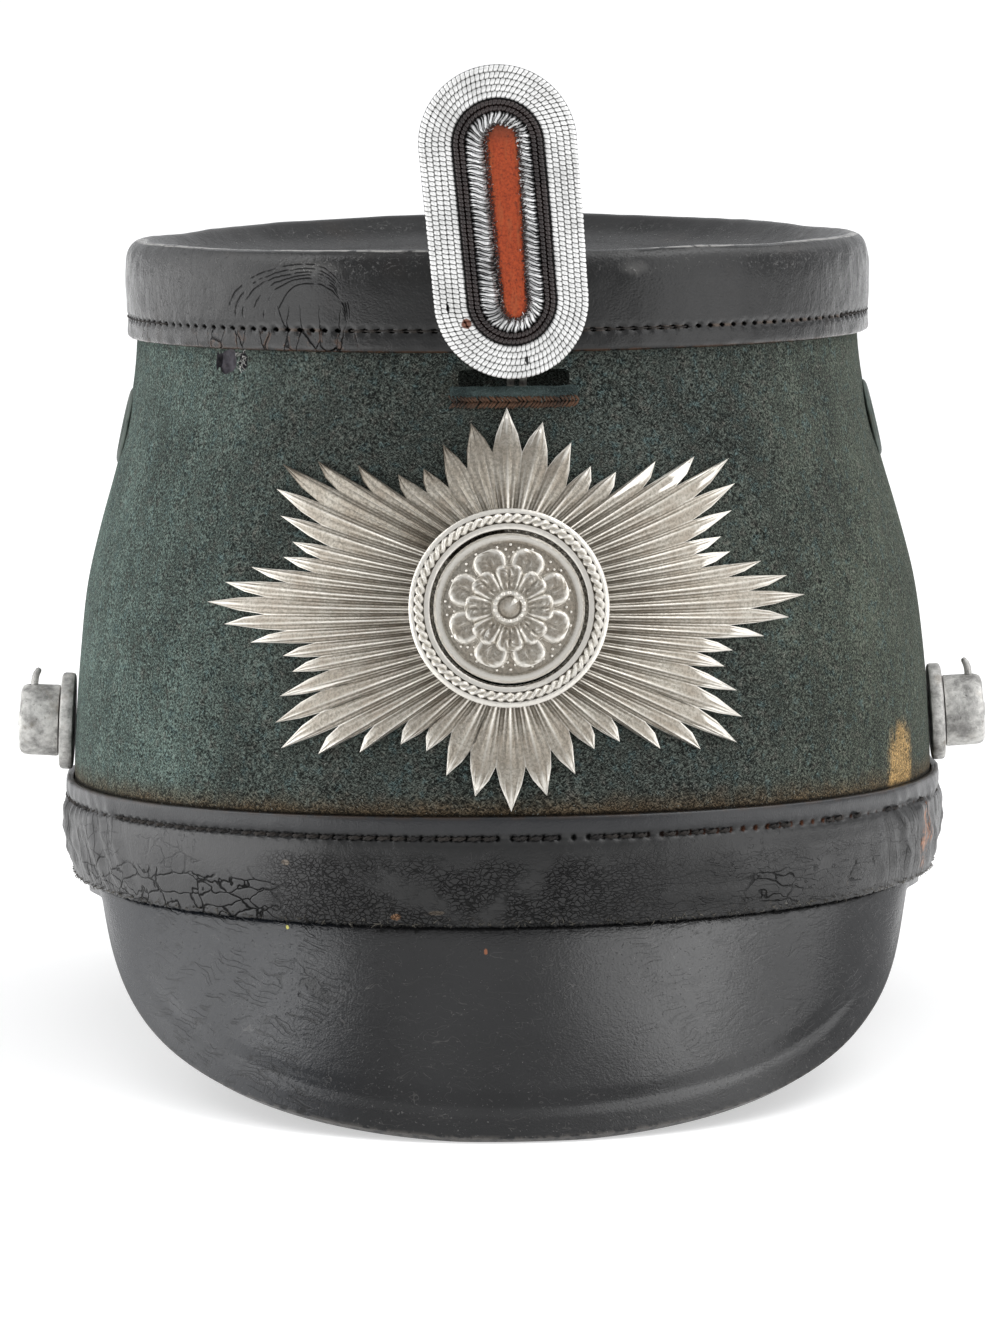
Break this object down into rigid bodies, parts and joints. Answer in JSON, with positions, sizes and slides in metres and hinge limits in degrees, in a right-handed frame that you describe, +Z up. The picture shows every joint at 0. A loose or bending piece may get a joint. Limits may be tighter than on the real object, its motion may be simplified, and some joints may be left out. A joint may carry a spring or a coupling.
{
  "type": "shako hat",
  "caption": "Stiff felt shako with a leather crown cap and foot band, front and rear peaks, an oval corded cockade, a rayed front plate, side vents and strap posts.",
  "frame": {"origin": "on the ground, under the middle of the hat's bounding box, with the hat standing on the edges of its two peaks", "axes": "+Z up, the hat's front faces -Y, +X is the viewer's right seen from the front; the hat is tipped back 2.9 degrees about X"},
  "size_m": [0.1952, 0.2498, 0.1959],
  "materials": {
    "felt": "grey-green fulled wool",
    "leather": "black, semi-gloss, crazed",
    "old_leather": "black, dull, cracked",
    "peak_leather": "black, smooth, polished",
    "binding": "teal cloth",
    "vent_paint": "grey-green, satin",
    "screen": "dark, dull",
    "dull_alloy": "whitish, dull",
    "silver_cord": "silvery white cord",
    "black_cord": "brown-black cord",
    "bullion": "silver wire coil",
    "orange_cloth": "orange-red felt",
    "wire": "dull wire",
    "silver": "antique silver, patinated"
  },
  "bodies": {
    "root": {"felt_body": "felt", "crown_cap": "leather", "lower_band": "old_leather", "front_peak": "peak_leather", "rear_peak": "peak_leather", "pocket_binding": "binding", "vent_ring_left": "vent_paint", "vent_ring_right": "vent_paint", "vent_screen_left": "screen", "vent_screen_right": "screen", "post_washer_left": "dull_alloy", "post_washer_right": "dull_alloy", "post_barrel_left": "dull_alloy", "post_barrel_right": "dull_alloy", "post_prong_left": "dull_alloy", "post_prong_right": "dull_alloy", "cockade_backing": "leather", "cockade_silver_cords": "silver_cord", "cockade_black_cords": "black_cord", "cockade_bullion": "bullion", "cockade_centre": "orange_cloth", "cockade_prong_left": "wire", "cockade_prong_right": "wire", "plate_star": "silver", "plate_ring": "silver", "plate_boss": "silver"}
  },
  "joints": []
}
